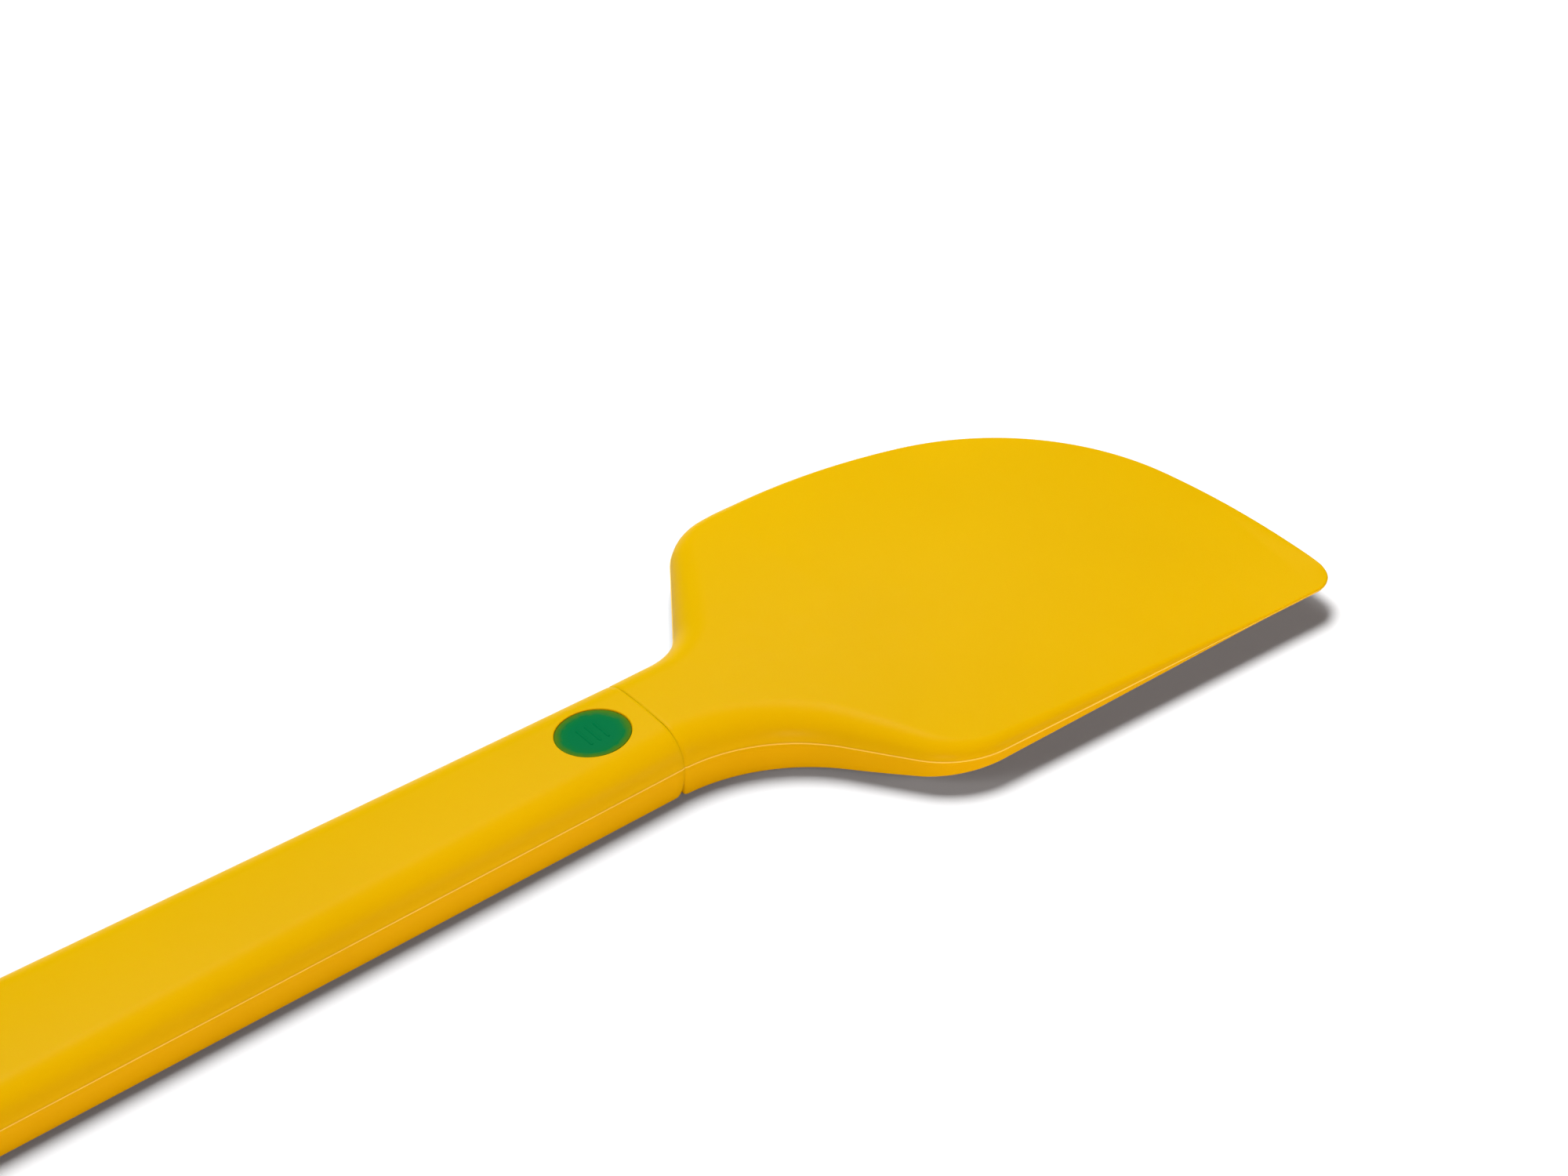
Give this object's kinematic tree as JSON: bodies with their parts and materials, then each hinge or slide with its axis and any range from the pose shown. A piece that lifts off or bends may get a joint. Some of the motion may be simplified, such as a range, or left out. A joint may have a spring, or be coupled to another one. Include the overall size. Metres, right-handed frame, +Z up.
{
  "type": "silicone turner spatula",
  "caption": "One-plane silicone turner: a long tapered grip with a hang hole, an oval badge, a flared neck and a wide thin blade with one straight and one bowed edge.",
  "frame": {"origin": "on the hang hole's axis, in the plane of the flat underside that the tool lies on", "axes": "+X along the handle towards the blade's tip, +Y towards the bowed edge, +Z up out of the top face"},
  "size_m": [0.3347, 0.0835, 0.0129],
  "materials": {
    "yellow_silicone": "satin moulded silicone",
    "green_badge": "translucent moulded insert",
    "core_nylon": "glass-filled nylon"
  },
  "bodies": {
    "root": {"grip": "yellow_silicone", "blade_head": "yellow_silicone", "badge": "green_badge", "core": "core_nylon"}
  },
  "joints": []
}
